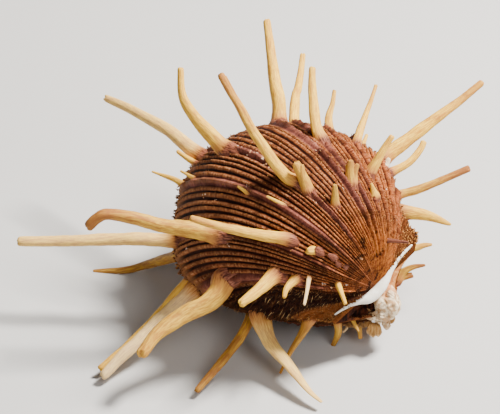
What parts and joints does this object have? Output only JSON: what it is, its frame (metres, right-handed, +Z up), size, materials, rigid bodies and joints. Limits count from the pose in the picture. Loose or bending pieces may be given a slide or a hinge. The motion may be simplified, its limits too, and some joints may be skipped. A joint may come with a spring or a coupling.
{
  "type": "regal thorny oyster shell",
  "caption": "Closed thorny oyster shell of an upper and a lower valve, ribbed and set with long blunt spines, lying on its side as a specimen.",
  "frame": {"origin": "middle of the bounding box, on the surface that the shell lies on", "axes": "+Z up, +X along the shell's longest extent towards the hinge side, +Y away from the viewer"},
  "size_m": [0.171, 0.1346, 0.1017],
  "materials": {
    "upper_shell": "rough ribbed brown shell with smooth cream spines",
    "lower_shell": "rough ribbed brown shell with cream spines and a chalky white scar"
  },
  "bodies": {
    "root": {"left_valve": "upper_shell", "right_valve": "lower_shell"}
  },
  "joints": []
}
